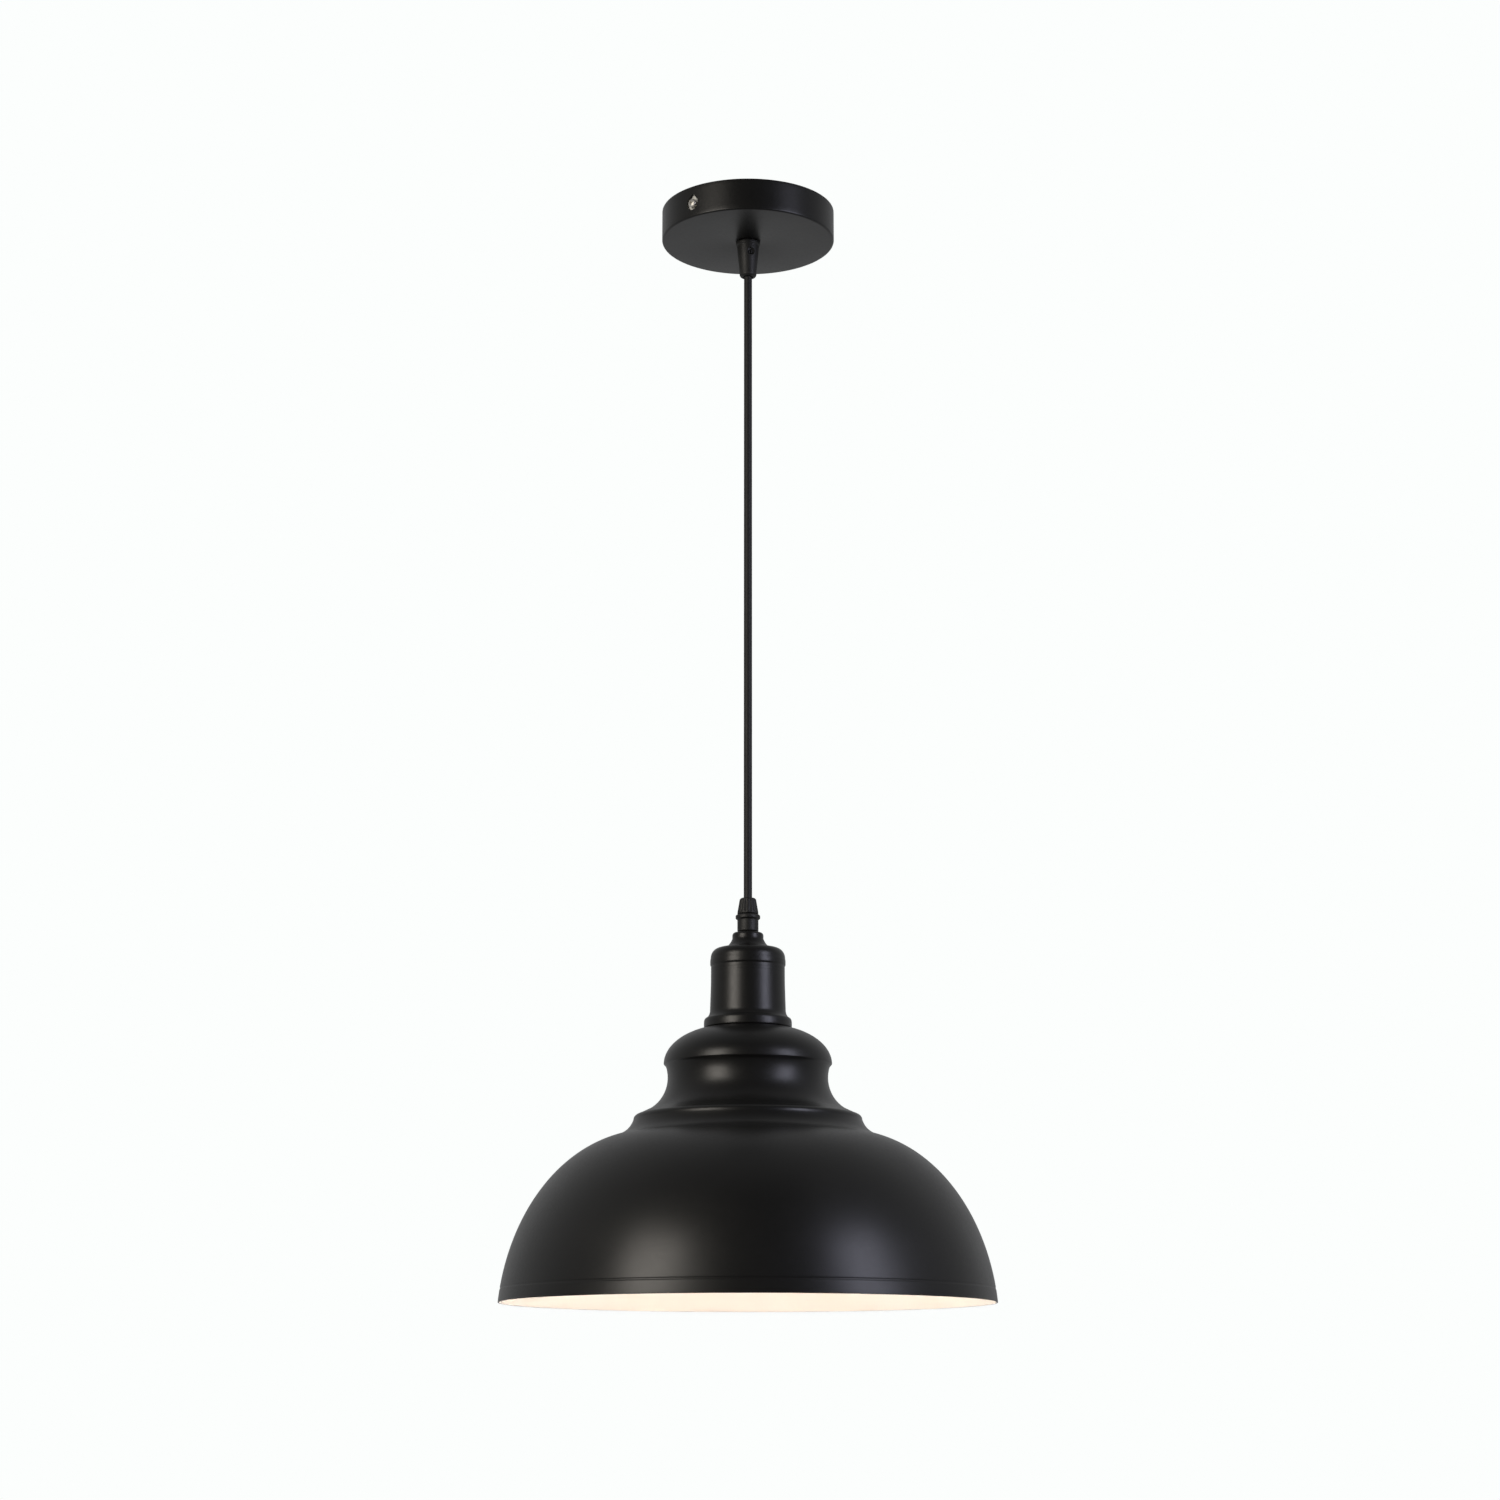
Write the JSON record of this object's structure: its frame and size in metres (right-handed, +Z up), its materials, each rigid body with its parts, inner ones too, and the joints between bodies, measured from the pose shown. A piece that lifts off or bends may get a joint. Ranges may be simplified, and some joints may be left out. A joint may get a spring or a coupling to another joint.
{
  "type": "pendant ceiling light",
  "caption": "Black metal pendant light: round ceiling cup, plain round flex, tall neck cap over the lampholder and a wide stepped dome shade, with a screw-in bulb.",
  "frame": {"origin": "on the ceiling plane, middle of the bracket's top face", "axes": "+Z up, into the ceiling; the lamp hangs along -Z; +Y away from the usual viewer"},
  "size_m": [0.29, 0.29, 0.6769],
  "materials": {
    "black_paint": "satin black paint on spun and pressed steel",
    "black_plastic": "moulded nylon, fine matt",
    "black_flex": "smooth PVC sheath",
    "zinc": "zinc plated steel",
    "nickel": "nickel plated steel",
    "brass": "turned brass",
    "bakelite": "moulded thermoset",
    "steatite": "pressed steatite ceramic, matt white",
    "block_plastic": "moulded polyamide, natural",
    "live_core": "brown PVC",
    "neutral_core": "blue PVC",
    "earth_core": "green PVC with yellow stripe",
    "rubber": "moulded seal",
    "cap_metal": "drawn and threaded cap",
    "opal_plastic": "opal polycarbonate, lit warm white",
    "black_glass": "black cap insulator"
  },
  "bodies": {
    "ceiling_fitting": {"ceiling_bracket": "zinc", "ceiling_cup": "black_paint", "side_screw_front": "nickel", "side_screw_back": "nickel", "terminal_block": "block_plastic", "block_screw": "zinc", "earth_screw_upper": "brass", "earth_ring_upper": "nickel", "live_wire_upper": "live_core", "neutral_wire_upper": "neutral_core", "earth_wire_upper": "earth_core", "terminal_sleeve_live": "brass", "terminal_sleeve_neutral": "brass", "terminal_screw_live_inner": "zinc", "terminal_screw_live_outer": "zinc", "terminal_screw_neutral_inner": "zinc", "terminal_screw_neutral_outer": "zinc", "upper_cord_grip": "black_plastic", "upper_grip_nut": "zinc", "upper_grip_screw": "black_plastic", "cord_tail_upper": "black_flex"},
    "cord": {"flex_cord": "black_flex"},
    "pendant": {"cord_tail_lower": "black_flex", "gland_nut": "black_plastic", "gland_seal": "rubber", "gland_body": "black_plastic", "neck_cap": "black_paint", "gland_locknut": "zinc", "earth_tag_lower": "nickel", "holder_dome": "bakelite", "holder_body": "bakelite", "holder_core": "steatite", "holder_thread_shell": "brass", "centre_contact": "brass", "live_wire_lower": "live_core", "neutral_wire_lower": "neutral_core", "earth_wire_lower": "earth_core", "shade": "black_paint"},
    "shade_ring_body": {"shade_ring": "bakelite"},
    "bulb": {"bulb_contact": "nickel", "bulb_insulator": "black_glass", "bulb_cap": "cap_metal", "bulb_globe": "opal_plastic"}
  },
  "joints": [
    {"name": "cord_swing", "type": "hinge", "parent": "ceiling_fitting", "child": "cord", "pos_m": [0, 0, -0.0435], "axis": [0, 1, 0], "range_deg": [-35, 35]},
    {"name": "head_tilt", "type": "hinge", "parent": "cord", "child": "pendant", "pos_m": [0, 0, -0.4383], "axis": [1, 0, 0], "range_deg": [-30, 30]},
    {"name": "shade_ring_turn", "type": "hinge", "parent": "pendant", "child": "shade_ring_body", "pos_m": [0, 0, -0.5228], "axis": [0, 0, 1], "range_deg": [-1080, 0]},
    {"name": "bulb_turn", "type": "hinge", "parent": "pendant", "child": "bulb", "pos_m": [0, 0, -0.5257], "axis": [0, 0, 1], "range_deg": [-900, 0]}
  ]
}
